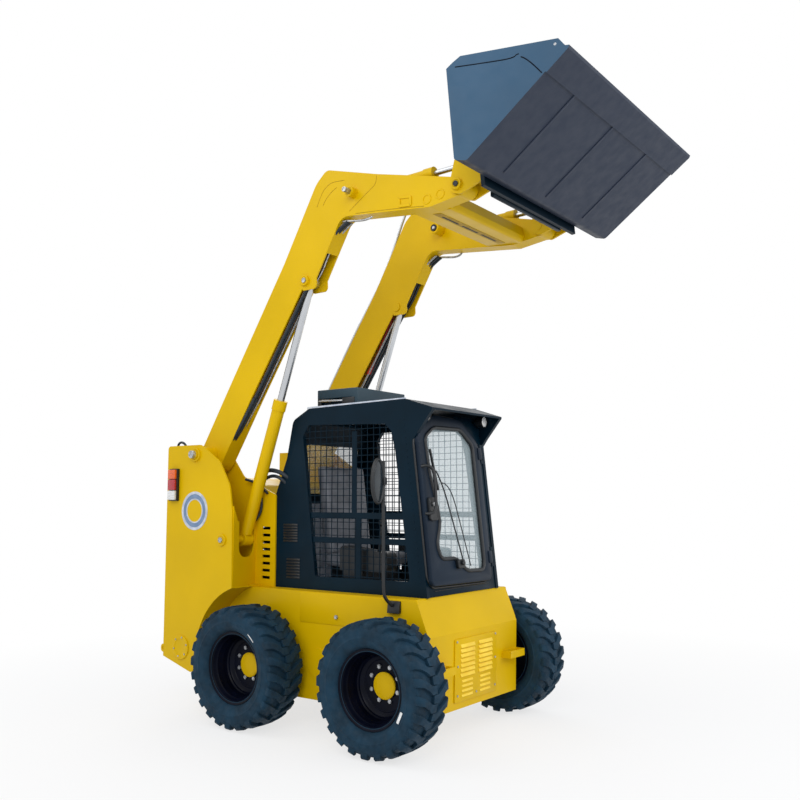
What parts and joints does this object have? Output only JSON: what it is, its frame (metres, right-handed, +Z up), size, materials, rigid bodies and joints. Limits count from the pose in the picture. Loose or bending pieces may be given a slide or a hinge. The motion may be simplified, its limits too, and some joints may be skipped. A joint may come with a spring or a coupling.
{
  "type": "skid steer loader",
  "caption": "Skid steer loader with raised lift arms, quick coupler and bucket, a closed cab with a front door, and wheels, arms, bucket, doors and cylinders that move.",
  "frame": {"origin": "on the ground, under the middle of the whole machine's length and width as stored", "axes": "+X forward, +Y to the machine's left, +Z up"},
  "size_m": [3.395, 1.824, 3.893],
  "materials": {
    "yellow_paint": "gloss",
    "navy_paint": "satin",
    "slate_paint": "satin",
    "rim_paint": "satin",
    "barrel_paint": "gloss",
    "tyre_rubber": "matte",
    "rod_chrome": "polished",
    "cab_glass": "clear",
    "cab_plastic": "matte",
    "seat_cover": "matte",
    "engine_iron": "rough",
    "lamp_lens": "gloss",
    "lamp_clear": "gloss"
  },
  "bodies": {
    "chassis": {"axle_housings": "rim_paint", "cab_front": "navy_paint", "cab_rear": "navy_paint", "cab_roof": "navy_paint", "cab_side_left": "navy_paint", "cab_side_right": "navy_paint", "control_consoles": "cab_plastic", "door_hinges": "navy_paint", "engine_block": "engine_iron", "engine_hood": "yellow_paint", "front_cover": "yellow_paint", "lower_frame": "yellow_paint", "rear_frame": "yellow_paint", "rear_window": "cab_glass", "roof_hatch": "navy_paint", "seat": "seat_cover", "side_guard_left": "navy_paint", "side_guard_right": "navy_paint", "side_mirror": "cab_plastic", "tail_lamps": "lamp_lens", "tower_left": "yellow_paint", "tower_right": "yellow_paint", "work_lamps": "lamp_clear"},
    "lift_arms": {"arm_cross_member": "yellow_paint", "arm_left": "yellow_paint", "arm_right": "yellow_paint"},
    "bucket_carrier": {"bucket": "slate_paint", "quick_coupler": "navy_paint"},
    "cab_door": {"door_frame": "navy_paint", "door_glass": "cab_glass", "door_handle": "navy_paint", "wiper": "cab_plastic"},
    "lift_barrels": {"lift_barrels": "barrel_paint"},
    "lift_rods": {"lift_rods": "rod_chrome"},
    "engine_door": {"rear_door": "navy_paint"},
    "wheel_front_left": {"rim_front_left": "rim_paint", "tyre_front_left": "tyre_rubber"},
    "wheel_front_right": {"rim_front_right": "rim_paint", "tyre_front_right": "tyre_rubber"},
    "wheel_rear_left": {"rim_rear_left": "rim_paint", "tyre_rear_left": "tyre_rubber"},
    "wheel_rear_right": {"rim_rear_right": "rim_paint", "tyre_rear_right": "tyre_rubber"},
    "tilt_barrels": {"tilt_barrels": "barrel_paint"},
    "tilt_rods": {"tilt_rods": "rod_chrome"}
  },
  "joints": [
    {"name": "wheel_front_left_spin", "type": "hinge", "parent": "chassis", "child": "wheel_front_left", "pos_m": [0.3475, 0.722, 0.388], "axis": [0, 1, 0], "continuous": true},
    {"name": "wheel_front_right_spin", "type": "hinge", "parent": "chassis", "child": "wheel_front_right", "pos_m": [0.3475, -0.722, 0.388], "axis": [0, 1, 0], "continuous": true},
    {"name": "wheel_rear_left_spin", "type": "hinge", "parent": "chassis", "child": "wheel_rear_left", "pos_m": [-0.7625, 0.722, 0.388], "axis": [0, 1, 0], "continuous": true},
    {"name": "wheel_rear_right_spin", "type": "hinge", "parent": "chassis", "child": "wheel_rear_right", "pos_m": [-0.7625, -0.722, 0.388], "axis": [0, 1, 0], "continuous": true},
    {"name": "arm_lift", "type": "hinge", "parent": "chassis", "child": "lift_arms", "pos_m": [-1.3025, 0, 1.772], "axis": [0, 1, 0], "range_deg": [0, 73]},
    {"name": "bucket_tilt", "type": "hinge", "parent": "lift_arms", "child": "bucket_carrier", "pos_m": [0.8075, 0, 3.308], "axis": [0, -1, 0], "range_deg": [-72, 60]},
    {"name": "lift_barrel_swing", "type": "hinge", "parent": "chassis", "child": "lift_barrels", "pos_m": [-1.0195, 0, 1.187], "axis": [0, 1, 0], "range_deg": [0, 67]},
    {"name": "lift_rod_slide", "type": "slide", "parent": "lift_barrels", "child": "lift_rods", "axis": [0.3296, 0, 0.9441], "range_m": [-0.76, 0]},
    {"name": "tilt_barrel_swing", "type": "hinge", "parent": "lift_arms", "child": "tilt_barrels", "pos_m": [-0.0055, 0, 3.432], "axis": [0, -1, 0], "range_deg": [-3, 2.5]},
    {"name": "tilt_rod_slide", "type": "slide", "parent": "tilt_barrels", "child": "tilt_rods", "axis": [0.9997, 0, 0.0251], "range_m": [-0.125, 0.15]},
    {"name": "cab_door_swing", "type": "hinge", "parent": "chassis", "child": "cab_door", "pos_m": [0.48537, 0.318, 0.86832], "axis": [-0.1103, 0, 0.9939], "range_deg": [0, 90]},
    {"name": "engine_door_swing", "type": "hinge", "parent": "chassis", "child": "engine_door", "pos_m": [-1.6145, 0.424, 1], "axis": [0, 0, -1], "range_deg": [0, 100]}
  ],
  "couplings": [
    {"joint": "lift_barrel_swing", "follows": "arm_lift", "ratio": 0.9166},
    {"joint": "lift_rod_slide", "follows": "arm_lift", "m_per_rad": -0.5954},
    {"joint": "tilt_barrel_swing", "follows": "bucket_tilt", "ratio": 0.04},
    {"joint": "tilt_rod_slide", "follows": "bucket_tilt", "m_per_rad": -0.116}
  ]
}
